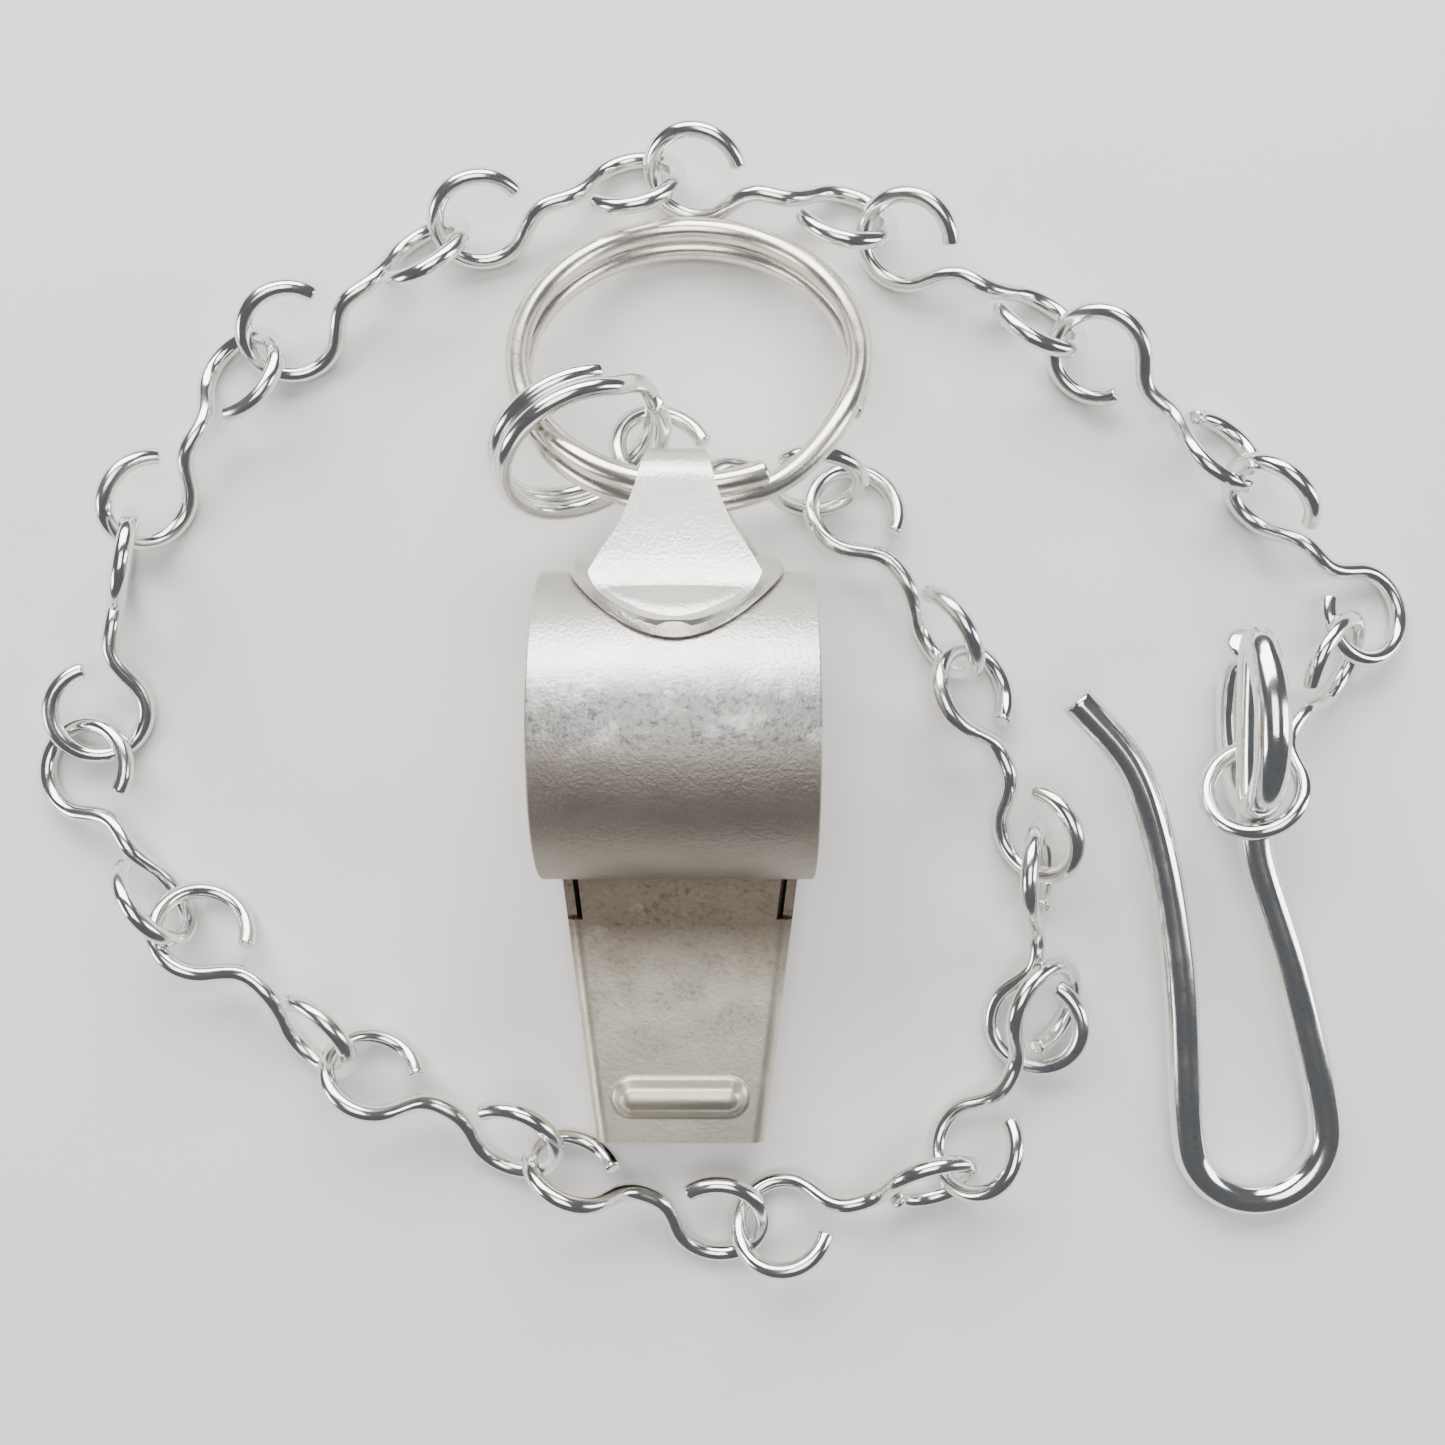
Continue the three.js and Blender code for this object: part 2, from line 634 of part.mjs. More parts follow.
assembly.updateMatrixWorld(true);
const extent = new THREE.Box3().setFromObject(assembly, true);
const shifted = new THREE.Group();
assembly.position.set(
  -(extent.min.x + extent.max.x) / 2,
  -(extent.min.y + extent.max.y) / 2,
  -extent.min.z,
);
shifted.add(assembly);

export default shifted;
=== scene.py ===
import math

import bmesh
import bpy
import numpy as np
from mathutils import Matrix, Vector


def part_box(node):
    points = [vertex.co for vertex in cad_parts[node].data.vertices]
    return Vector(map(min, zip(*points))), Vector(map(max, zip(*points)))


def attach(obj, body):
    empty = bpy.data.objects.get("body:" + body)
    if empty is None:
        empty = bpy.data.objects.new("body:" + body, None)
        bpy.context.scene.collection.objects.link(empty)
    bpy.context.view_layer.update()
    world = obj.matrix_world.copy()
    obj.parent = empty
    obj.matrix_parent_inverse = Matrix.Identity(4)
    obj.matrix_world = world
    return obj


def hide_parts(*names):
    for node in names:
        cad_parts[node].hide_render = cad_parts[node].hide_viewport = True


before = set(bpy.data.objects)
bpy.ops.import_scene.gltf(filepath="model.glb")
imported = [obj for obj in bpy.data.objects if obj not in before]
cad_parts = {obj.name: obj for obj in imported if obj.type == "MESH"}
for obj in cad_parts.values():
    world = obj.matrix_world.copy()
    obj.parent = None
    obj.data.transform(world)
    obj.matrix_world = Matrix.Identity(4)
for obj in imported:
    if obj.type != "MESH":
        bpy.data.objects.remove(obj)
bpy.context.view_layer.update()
mm = 0.001


print("stage: frame loaded")

bandLow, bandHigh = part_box("barrel_band")
undersideLow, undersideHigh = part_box("mouth_underside")
capLow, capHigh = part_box("left_end_plate")
axisX = (bandLow.x + bandHigh.x) / 2
axisY = (capLow.y + capHigh.y) / 2
axisZ = (capLow.z + capHigh.z) / 2
barrelRadius = bandHigh.z - axisZ
barrelWidth = bandHigh.x - bandLow.x


def addPiece(name, bm, material, body, nodes, sharp=35.0):
    mesh = bpy.data.meshes.new(name)
    bmesh.ops.recalc_face_normals(bm, faces=bm.faces)
    bm.to_mesh(mesh)
    bm.free()
    mesh.polygons.foreach_set("use_smooth", [True] * len(mesh.polygons))
    mesh.set_sharp_from_angle(angle=math.radians(sharp))
    piece = bpy.data.objects.new(name, mesh)
    bpy.context.scene.collection.objects.link(piece)
    mesh.materials.append(material)
    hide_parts(*nodes)
    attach(piece, body)
    return piece


# a centripetal Catmull-Rom curve, stepped evenly
def curveThrough(points, count):
    p = np.array(points, float)
    p = np.vstack([2 * p[0] - p[1], p, 2 * p[-1] - p[-2]])
    dense = []
    for i in range(1, len(p) - 2):
        a, b, c, d = p[i - 1], p[i], p[i + 1], p[i + 2]
        t0 = np.sum((b - a) ** 2) ** 0.25
        t1 = np.sum((c - b) ** 2) ** 0.25
        t2 = np.sum((d - c) ** 2) ** 0.25
        m1 = ((b - a) / t0 - (c - a) / (t0 + t1) + (c - b) / t1) * t1
        m2 = ((c - b) / t1 - (d - b) / (t1 + t2) + (d - c) / t2) * t1
        for s in np.linspace(0, 1, 24, endpoint=False):
            dense.append(
                b + m1 * s + (3 * c - 3 * b - 2 * m1 - m2) * s ** 2
                + (2 * b - 2 * c + m1 + m2) * s ** 3
            )
    dense.append(p[-2])
    dense = np.array(dense)
    run = np.r_[0, np.cumsum(np.linalg.norm(np.diff(dense, axis=0), axis=1))]
    where = np.linspace(0, run[-1], count + 1)
    return np.stack([np.interp(where, run, dense[:, k]) for k in range(3)], axis=1)


def wireFrames(path):
    tangent = np.gradient(path, axis=0)
    tangent /= np.linalg.norm(tangent, axis=1)[:, None]
    side = np.cross(tangent[0], [0, 0, 1.0])
    if np.linalg.norm(side) < 1e-3:
        side = np.cross(tangent[0], [0, 1.0, 0])
    side /= np.linalg.norm(side)
    sideways = [side]
    for t in tangent[1:]:
        side = sideways[-1] - t * np.dot(sideways[-1], t)
        sideways.append(side / np.linalg.norm(side))
    return tangent, np.array(sideways)


def sweepWire(path, diameter, sides, roundEnd=0.3):
    radius = diameter / 2
    tangent, sideways = wireFrames(path)
    fillet = radius * roundEnd
    bm = bmesh.new()
    run = np.r_[0, np.cumsum(np.linalg.norm(np.diff(path, axis=0), axis=1))]
    keep = [i for i in range(len(path)) if fillet * 1.05 < run[i] < run[-1] - fillet * 1.05]
    quarter = [math.pi / 2 * i / 4 for i in range(5)]    # the rounded edge of a cut end
    first = [(fillet * (1 - math.cos(a)), radius - fillet + fillet * math.sin(a)) for a in quarter]
    last = [(run[-1] - s, r) for s, r in reversed(first)]
    middle = [(run[i], radius) for i in keep]
    rowsAll = first + middle + last
    ring = bmesh.ops.create_circle(bm, cap_ends=False, segments=sides, radius=radius)["verts"]
    loop = list(bm.edges)
    angles = [2 * math.pi * k / sides for k in range(sides)]
    order = sorted(ring, key=lambda v: math.atan2(v.co.y, v.co.x) % (2 * math.pi))

    def settle(verts, along, size):
        centre = np.array([np.interp(along, run, path[:, k]) for k in range(3)])
        t = np.array([np.interp(along, run, tangent[:, k]) for k in range(3)])
        t /= np.linalg.norm(t)
        s = np.array([np.interp(along, run, sideways[:, k]) for k in range(3)])
        s -= t * np.dot(s, t)
        s /= np.linalg.norm(s)
        u = np.cross(t, s)
        for v, a in zip(verts, angles):
            v.co = Vector(centre + size * (math.cos(a) * s + math.sin(a) * u))

    settle(order, *rowsAll[0])
    bm.faces.new(order)
    current = order
    for along, size in rowsAll[1:]:
        made = bmesh.ops.extrude_edge_only(bm, edges=loop)["geom"]
        freshVerts = [g for g in made if isinstance(g, bmesh.types.BMVert)]
        loop = [g for g in made if isinstance(g, bmesh.types.BMEdge)
                and all(v in freshVerts for v in g.verts)]
        above = {}
        for old in current:
            for e in old.link_edges:
                other = e.other_vert(old)
                if other in freshVerts:
                    above[old] = other
        current = [above[v] for v in current]
        settle(current, along, size)
    bm.faces.new(current)
    return bm


def nodePoints(node):
    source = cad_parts[node]
    mesh = source.data
    world = source.matrix_world
    return np.array([world @ v.co for v in mesh.vertices])


# the turn and shift that lay a path along the middle of a CAD wire
def matchPose(path, radius, points):
    centreP = path.mean(axis=0)
    centreV = points.mean(axis=0)
    axesP = np.linalg.svd(path - centreP, full_matrices=False)[2]
    axesV = np.linalg.svd(points - centreV, full_matrices=False)[2]
    best = None
    for first in (1, -1):
        for second in (1, -1):
            target = axesV * np.array([first, second, 1])[:, None]
            turn = target.T @ axesP
            if np.linalg.det(turn) < 0:
                target[2] *= -1
                turn = target.T @ axesP
            move = centreV - turn @ centreP
            for _ in range(30):
                moved = path @ turn.T + move
                gap = points[:, None, :] - moved[None, :, :]
                dist = np.linalg.norm(gap, axis=2)
                near = dist.argmin(axis=1)
                away = points - moved[near]
                away /= np.linalg.norm(away, axis=1)[:, None] + 1e-12
                goal = points - away * radius
                src = path[near]
                a, b = src.mean(axis=0), goal.mean(axis=0)
                u, _, vt = np.linalg.svd((src - a).T @ (goal - b))
                fix = np.diag([1, 1, np.sign(np.linalg.det(vt.T @ u.T))])
                turn = vt.T @ fix @ u.T
                move = b - turn @ a
            left = np.abs(dist.min(axis=1) - radius).mean()
            if best is None or left < best[0]:
                best = (left, turn, move)
    return best


def placedWire(name, node, body, path, settings, material):
    coarse = path[:: max(1, len(path) // 220)]
    left, turn, move = matchPose(coarse, settings["wire"] / 2, nodePoints(node))
    diameter = settings["wire"] * settings["wireShare"]
    bm = sweepWire(path @ turn.T + move, diameter, settings["sides"])
    piece = addPiece(name, bm, material, body, [node])
    print("  fitted", name, round(left / mm, 3), "mm")
    return piece


# wireShare is the drawn wire's share of the CAD wire, so that the box isn't passed
largeRingSettings = {"wire": 1.9 * mm, "wireShare": 0.97, "radius": 12.96 * mm,
                     "sides": 20, "steps": 520}
smallRingSettings = {"wire": 1.5 * mm, "wireShare": 0.96, "radius": 6.4 * mm,
                     "sides": 18, "steps": 420}


def splitRingPath(settings):
    pitch = settings["wire"] + 0.06 * mm
    points = []
    for angle in range(22, 699, 4):
        t = min(max((angle - 338) / 44, 0), 1)
        along = t * t * (3 - 2 * t)
        points.append((
            settings["radius"] * math.cos(math.radians(angle)),
            settings["radius"] * math.sin(math.radians(angle)),
            pitch * (along - 0.5),
        ))
    return curveThrough(points, settings["steps"])


linkSettings = {
    "wire": 1.55 * mm,
    "wireShare": 0.88,
    "radius": 3.6 * mm,
    "spacing": 12.4 * mm,
    "start": 26,
    "end": 322,
    "sides": 16,
    "steps": 150,
    "count": 19,
}


def linkPath(settings):
    half = settings["spacing"] / 2
    near = []
    for angle in range(settings["start"], settings["end"], 8):
        near.append(np.array([
            -half + settings["radius"] * math.cos(math.radians(angle)),
            settings["radius"] * math.sin(math.radians(angle)),
            0,
        ]))
    leave = math.radians(settings["end"])
    exitPoint = np.array([
        -half + settings["radius"] * math.cos(leave),
        settings["radius"] * math.sin(leave),
        0,
    ])
    bend = 0.14 * settings["spacing"]
    handles = [
        exitPoint,
        exitPoint + bend * np.array([-math.sin(leave), math.cos(leave), 0]),
        np.array([-bend, 0, 0]),
        np.zeros(3),
    ]
    for s in np.linspace(0, 1, 6):
        near.append(
            (1 - s) ** 3 * handles[0] + 3 * (1 - s) ** 2 * s * handles[1]
            + 3 * (1 - s) * s * s * handles[2] + s ** 3 * handles[3]
        )
    far = [np.array([-p[0], 0, p[1]]) for p in reversed(near[:-1])]
    return curveThrough(near + far, settings["steps"])


hookSettings = {
    "wire": 2.8 * mm,
    "wireShare": 0.95,
    "eyeLength": 6.6 * mm,
    "eyeHeight": 4.7 * mm,
    "bendRadius": 5.5 * mm,
    "shank": 32.2 * mm,
    "sides": 24,
    "steps": 420,
}


def hookPath(settings):
    length = settings["eyeLength"]
    gape = settings["bendRadius"]
    points = []
    for angle in range(520, 199, -20):
        turn = math.radians(angle - 180)
        points.append((-length * math.cos(turn), 0, settings["eyeHeight"] * math.sin(turn)))
    points.append((length - 0.1 * mm, 0, 0.2 * mm))
    bendX = length + settings["shank"] - gape
    points.append((length + 3.4 * mm, 0.2 * mm, 0))
    points.append((length + 0.42 * settings["shank"], 0.55 * gape, 0))
    for i in range(9):
        turn = math.radians(90 - 22.5 * i)
        points.append((bendX + gape * math.cos(turn), gape * math.sin(turn), 0))
    points.append((bendX - 0.45 * settings["shank"], -1.1 * gape, 0))
    points.append((length + 1.5 * mm, -1.4 * gape, 0))
    points.append((length - 4 * mm, -1.75 * gape, 0))
    points.append((-2.6 * mm, -2.5 * gape, 0))
    return curveThrough(points, settings["steps"])


def makeGroup(name, inputs, outputs):
    group = bpy.data.node_groups.new(name, "ShaderNodeTree")
    for label, kind, value in inputs:
        socket = group.interface.new_socket(label, in_out="INPUT", socket_type=kind)
        if value is not None:
            socket.default_value = value
    for label, kind in outputs:
        group.interface.new_socket(label, in_out="OUTPUT", socket_type=kind)
    return group, group.nodes.new("NodeGroupInput"), group.nodes.new("NodeGroupOutput")


def addNode(tree, kind, **values):
    node = tree.nodes.new(kind)
    for key, value in values.items():
        if key in node.inputs:
            node.inputs[key].default_value = value
        else:
            setattr(node, key, value)
    return node


def ramp(tree, source, low, high, lowValue=0.0, highValue=1.0):
    node = addNode(tree, "ShaderNodeMapRange", clamp=True)
    node.inputs["From Min"].default_value = low
    node.inputs["From Max"].default_value = high
    node.inputs["To Min"].default_value = lowValue
    node.inputs["To Max"].default_value = highValue
    tree.links.new(source, node.inputs["Value"])
    return node.outputs["Result"]


def math2(tree, operation, a, b):
    node = addNode(tree, "ShaderNodeMath", operation=operation)
    for socket, value in zip(node.inputs, (a, b)):
        if isinstance(value, (int, float)):
            socket.default_value = value
        else:
            tree.links.new(value, socket)
    return node.outputs[0]


def mixColor(tree, factor, a, b):
    node = tree.nodes.new("ShaderNodeMix")
    node.data_type = "RGBA"
    for socket, value in ((node.inputs[0], factor), (node.inputs[6], a), (node.inputs[7], b)):
        if isinstance(value, (tuple, float, int)):
            socket.default_value = value
        else:
            tree.links.new(value, socket)
    return node.outputs[2]


def blotchGroup():
    group, inside, outside = makeGroup("blotches", [
        ("Vector", "NodeSocketVector", None),
        ("Scale", "NodeSocketFloat", 600.0),
        ("Low", "NodeSocketFloat", 0.45),
        ("High", "NodeSocketFloat", 0.65),
    ], [("Mask", "NodeSocketFloat")])
    noise = addNode(group, "ShaderNodeTexNoise", Detail=6.0, Roughness=0.62)
    group.links.new(inside.outputs["Vector"], noise.inputs["Vector"])
    group.links.new(inside.outputs["Scale"], noise.inputs["Scale"])
    spread = addNode(group, "ShaderNodeMapRange", clamp=True)
    group.links.new(noise.outputs["Fac"], spread.inputs["Value"])
    group.links.new(inside.outputs["Low"], spread.inputs["From Min"])
    group.links.new(inside.outputs["High"], spread.inputs["From Max"])
    group.links.new(spread.outputs["Result"], outside.inputs["Mask"])
    return group


def grainGroup():
    group, inside, outside = makeGroup("fineGrain", [
        ("Vector", "NodeSocketVector", None),
        ("Scale", "NodeSocketFloat", 4000.0),
        ("Strength", "NodeSocketFloat", 0.1),
        ("Distance", "NodeSocketFloat", 0.0001),
    ], [("Normal", "NodeSocketVector")])
    noise = addNode(group, "ShaderNodeTexNoise", Detail=3.0, Roughness=0.6)
    bump = group.nodes.new("ShaderNodeBump")
    group.links.new(inside.outputs["Vector"], noise.inputs["Vector"])
    group.links.new(inside.outputs["Scale"], noise.inputs["Scale"])
    group.links.new(noise.outputs["Fac"], bump.inputs["Height"])
    group.links.new(inside.outputs["Strength"], bump.inputs["Strength"])
    group.links.new(inside.outputs["Distance"], bump.inputs["Distance"])
    group.links.new(bump.outputs["Normal"], outside.inputs["Normal"])
    return group


def bandGroup():
    group, inside, outside = makeGroup("softBand", [
        ("Value", "NodeSocketFloat", 0.0),
        ("Middle", "NodeSocketFloat", 0.0),
        ("Half", "NodeSocketFloat", 0.002),
        ("Blur", "NodeSocketFloat", 0.001),
    ], [("Mask", "NodeSocketFloat")])
    away = math2(group, "SUBTRACT", inside.outputs["Value"], inside.outputs["Middle"])
    size = addNode(group, "ShaderNodeMath", operation="ABSOLUTE")
    group.links.new(away, size.inputs[0])
    past = math2(group, "SUBTRACT", size.outputs[0], inside.outputs["Half"])
    share = math2(group, "DIVIDE", past, inside.outputs["Blur"])
    mask = ramp(group, share, 0.0, 1.0, 1.0, 0.0)
    group.links.new(mask, outside.inputs["Mask"])
    return group


blotches = blotchGroup()
fineGrain = grainGroup()
softBand = bandGroup()


def useGroup(tree, group, values, links):
    node = tree.nodes.new("ShaderNodeGroup")
    node.node_tree = group
    for key, value in values.items():
        node.inputs[key].default_value = value
    for key, source in links.items():
        tree.links.new(source, node.inputs[key])
    return node.outputs[0]


def startMaterial(name):
    material = bpy.data.materials.new(name)
    material.use_nodes = True
    tree = material.node_tree
    shader = tree.nodes["Principled BSDF"]
    coordinates = addNode(tree, "ShaderNodeTexCoord")
    return material, tree, shader, coordinates.outputs["Object"]


def wireMetal(name, settings):
    material, tree, shader, place = startMaterial(name)
    shader.inputs["Metallic"].default_value = 1.0
    dull = useGroup(tree, blotches, {"Scale": settings["patchScale"], "Low": 0.42, "High": 0.7},
                    {"Vector": place})
    fine = useGroup(tree, blotches, {"Scale": settings["patchScale"] * 7, "Low": 0.55, "High": 0.75},
                    {"Vector": place})
    color = mixColor(tree, math2(tree, "MULTIPLY", dull, settings["patch"]),
                     settings["color"], settings["dullColor"])
    color = mixColor(tree, math2(tree, "MULTIPLY", fine, settings["speck"]), color, settings["speckColor"])
    tree.links.new(color, shader.inputs["Base Color"])
    tree.links.new(ramp(tree, dull, 0, 1, settings["roughness"], settings["dullRoughness"]),
                   shader.inputs["Roughness"])
    normal = useGroup(tree, fineGrain, {
        "Scale": settings["grainScale"],
        "Strength": settings["grain"],
        "Distance": 0.00004,
    }, {"Vector": place})
    tree.links.new(normal, shader.inputs["Normal"])
    return material


def plateMetal(name, settings):
    material, tree, shader, place = startMaterial(name)
    shader.inputs["Metallic"].default_value = 1.0
    split = addNode(tree, "ShaderNodeSeparateXYZ")
    tree.links.new(place, split.inputs[0])
    patch = useGroup(tree, blotches, {"Scale": 260.0, "Low": 0.4, "High": 0.72}, {"Vector": place})
    speck = useGroup(tree, blotches, {"Scale": 2300.0, "Low": 0.5, "High": 0.66}, {"Vector": place})
    color = mixColor(tree, math2(tree, "MULTIPLY", patch, 0.35), settings["color"], settings["warmColor"])
    rough = ramp(tree, patch, 0, 1, settings["roughness"], settings["roughness"] + 0.08)
    # each entry darkens a soft strip across one axis towards its colour, broken by blotches; the barrel's
    # second strip is painted shade
    for darkening in settings["darkBandsAndPaintedShade"]:
        band = useGroup(tree, softBand, {
            "Middle": darkening["middle"],
            "Half": darkening["half"],
            "Blur": darkening["blur"],
        }, {"Value": split.outputs[darkening["axis"]]})
        broken = useGroup(tree, blotches, {
            "Scale": darkening["scale"],
            "Low": darkening["low"],
            "High": darkening["high"],
        }, {"Vector": place})
        spread = math2(tree, "MULTIPLY", band, broken)
        flecks = math2(tree, "MULTIPLY", spread, ramp(tree, speck, 0, 1, 1 - darkening["flecks"], 1))
        color = mixColor(tree, math2(tree, "MULTIPLY", flecks, darkening["amount"]), color, darkening["color"])
        rough = math2(tree, "ADD", rough, math2(tree, "MULTIPLY", flecks, 0.12))
    tree.links.new(color, shader.inputs["Base Color"])
    tree.links.new(rough, shader.inputs["Roughness"])
    normal = useGroup(tree, fineGrain, {
        "Scale": settings["grainScale"],
        "Strength": settings["grain"],
        "Distance": 0.00006,
    }, {"Vector": place})
    tree.links.new(normal, shader.inputs["Normal"])
    return material


barrelMetal = plateMetal("barrelNickel", {
    "color": (0.70, 0.685, 0.65, 1),
    "warmColor": (0.62, 0.58, 0.51, 1),
    "roughness": 0.34,
    "grain": 0.9,
    "grainScale": 3300.0,
    "darkBandsAndPaintedShade": [
        # a dark strip along the barrel's crest, broken by blotches
        {"axis": 1, "middle": axisY + 0.4 * mm, "half": 1.5 * mm, "blur": 2.4 * mm, "scale": 430.0,
         "low": 0.28, "high": 0.48, "flecks": 0.35, "amount": 0.92, "color": (0.10, 0.10, 0.105, 1)},
        # painted shade: the barrel's half towards -Y, away from the key light, is darkened brown as a
        # painted dimmer reflection
        {"axis": 1, "middle": axisY - 7.2 * mm, "half": 4.6 * mm, "blur": 2.0 * mm, "scale": 120.0,
         "low": 0.0, "high": 0.3, "flecks": 0.05, "amount": 0.85, "color": (0.27, 0.23, 0.185, 1)},
    ],
})
mouthRoot = undersideHigh.y
mouthMetal = plateMetal("mouthpieceNickel", {
    "color": (0.62, 0.58, 0.49, 1),
    "warmColor": (0.70, 0.62, 0.49, 1),
    "roughness": 0.38,
    "grain": 0.35,
    "grainScale": 2800.0,
    "darkBandsAndPaintedShade": [
        # a dark brown strip across the mouthpiece where it meets the barrel, broken by blotches
        {"axis": 1, "middle": mouthRoot - 1.5 * mm, "half": 3.2 * mm, "blur": 6.0 * mm, "scale": 210.0,
         "low": 0.02, "high": 0.38, "flecks": 0.1, "amount": 0.96, "color": (0.085, 0.062, 0.045, 1)},
        # blotchy brown patches further along the mouthpiece
        {"axis": 1, "middle": mouthRoot - 8 * mm, "half": 5 * mm, "blur": 5 * mm, "scale": 380.0,
         "low": 0.42, "high": 0.60, "flecks": 0.6, "amount": 0.7, "color": (0.25, 0.21, 0.16, 1)},
    ],
})
bailMetal = plateMetal("bailNickel", {
    "color": (0.72, 0.705, 0.675, 1),
    "warmColor": (0.62, 0.58, 0.52, 1),
    "roughness": 0.33,
    "grain": 0.9,
    "grainScale": 3300.0,
    "darkBandsAndPaintedShade": [],
})
largeRingMetal = wireMetal("largeRingNickel", {
    "color": (0.80, 0.77, 0.70, 1),
    "dullColor": (0.66, 0.61, 0.53, 1),
    "speckColor": (0.35, 0.30, 0.25, 1),
    "patch": 0.6,
    "speck": 0.25,
    "patchScale": 240.0,
    "roughness": 0.22,
    "dullRoughness": 0.34,
    "grain": 0.18,
    "grainScale": 2400.0,
})
brightSettings = {
    "color": (0.83, 0.83, 0.82, 1),
    "dullColor": (0.66, 0.64, 0.60, 1),
    "speckColor": (0.25, 0.23, 0.20, 1),
    "patch": 0.5,
    "speck": 0.3,
    "patchScale": 320.0,
    "roughness": 0.12,
    "dullRoughness": 0.24,
    "grain": 0.12,
    "grainScale": 1500.0,
}
smallRingMetal = wireMetal("smallRingChrome", brightSettings)
chainMetal = wireMetal("chainChrome", {**brightSettings, "grain": 0.2})
hookMetal = wireMetal("hookChrome", {**brightSettings, "roughness": 0.1, "dullRoughness": 0.2,
                                     "grain": 0.08})


def corkMaterial():
    material, tree, shader, place = startMaterial("peaCork")
    broad = useGroup(tree, blotches, {"Scale": 500.0, "Low": 0.35, "High": 0.7}, {"Vector": place})
    pits = useGroup(tree, blotches, {"Scale": 1900.0, "Low": 0.56, "High": 0.66}, {"Vector": place})
    color = mixColor(tree, broad, (0.62, 0.42, 0.24, 1), (0.44, 0.27, 0.14, 1))
    color = mixColor(tree, pits, color, (0.18, 0.10, 0.05, 1))
    tree.links.new(color, shader.inputs["Base Color"])
    shader.inputs["Roughness"].default_value = 0.88
    normal = useGroup(tree, fineGrain, {"Scale": 1900.0, "Strength": 0.6, "Distance": 0.0002},
                      {"Vector": place})
    tree.links.new(normal, shader.inputs["Normal"])
    return material


peaCork = corkMaterial()


def dressNode(node, material):
    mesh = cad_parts[node].data
    mesh.materials.clear()
    mesh.materials.append(material)


for node, material in (("pea", peaCork), ("windway_plate", mouthMetal), ("windway_tongue", mouthMetal)):
    dressNode(node, material)
print("stage: materials made")


def bevelSharp(bm, offset, segments, angle=50.0):
    edges = [e for e in bm.edges if len(e.link_faces) == 2
             and e.calc_face_angle(0) > math.radians(angle)]
    bmesh.ops.bevel(bm, geom=edges, offset=offset, offset_type="OFFSET", segments=segments,
                    profile=0.5, affect="EDGES", clamp_overlap=True)


barrelSettings = {
    "sheet": 0.8 * mm,
    "from": -98.0,
    "to": 228.0,
    "steps": 240,
    "rim": 0.16 * mm,
}


def buildBarrel():
    s = barrelSettings
    bm = bmesh.new()
    half = barrelWidth / 2
    count = s["steps"]
    inner = barrelRadius - s["sheet"]
    profile = []
    for i in range(count + 1):
        turn = math.radians(s["from"] + (s["to"] - s["from"]) * i / count)
        profile.append((barrelRadius, turn))
    for i in range(count, -1, -1):
        turn = math.radians(s["from"] + (s["to"] - s["from"]) * i / count)
        profile.append((inner, turn))
    verts = [bm.verts.new((axisX - half, axisY + r * math.cos(t), axisZ + r * math.sin(t)))
             for r, t in profile]
    face = bm.faces.new(verts)
    made = bmesh.ops.extrude_face_region(bm, geom=[face])["geom"]
    bmesh.ops.translate(bm, vec=(2 * half, 0, 0),
                        verts=[g for g in made if isinstance(g, bmesh.types.BMVert)])
    bevelSharp(bm, s["rim"], 3)
    return addPiece("barrelShell", bm, barrelMetal, "whistle", ["barrel_band"])


capSettings = {"segments": 96, "edge": 0.15 * mm, "dish": 0.12 * mm, "inset": 1.6 * mm}


def buildCap(name, node, side):
    s = capSettings
    low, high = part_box(node)
    radius = (high.z - low.z) / 2
    bm = bmesh.new()
    bmesh.ops.create_circle(bm, cap_ends=True, segments=s["segments"], radius=radius)
    bmesh.ops.rotate(bm, cent=(0, 0, 0), matrix=Matrix.Rotation(math.pi / 2, 3, "Y"), verts=bm.verts)
    start = low.x if side > 0 else high.x
    bmesh.ops.translate(bm, vec=(start, axisY, axisZ), verts=bm.verts)
    face = list(bm.faces)[0]
    made = bmesh.ops.extrude_face_region(bm, geom=[face])["geom"]
    moved = [g for g in made if isinstance(g, bmesh.types.BMVert)]
    bmesh.ops.translate(bm, vec=(side * (high.x - low.x), 0, 0), verts=moved)
    outer = [f for f in bm.faces if abs(f.normal.x) > 0.9
             and abs(f.calc_center_median().x - (high.x if side > 0 else low.x)) < 1e-6]
    bmesh.ops.inset_region(bm, faces=outer, thickness=s["inset"], depth=-s["dish"])
    bevelSharp(bm, s["edge"], 2)
    return addPiece(name, bm, barrelMetal, "whistle", [node])


mouthSettings = {
    "sheet": 0.8 * mm,
    "corner": 1.1 * mm,
    "gap": 0.3 * mm,
    "cheekFoot": 1.15 * mm,
    "across": 84,
    "down": 12,
    "round": 7,
    "along": 190,
    "barWidth": 10.4 * mm,
    "barDepth": 3.0 * mm,
    "barRise": 1.1 * mm,
    "barSetback": 3.7 * mm,
    "notchWidth": 1.35 * mm,
    "notchLength": 4.3 * mm,
    "rootHeight": 0.66,    # shares of the barrel's radius and width
    "rootWidth": 0.925,
    "tipWidth": 0.665,
    "tipHeight": 5.0 * mm,
}


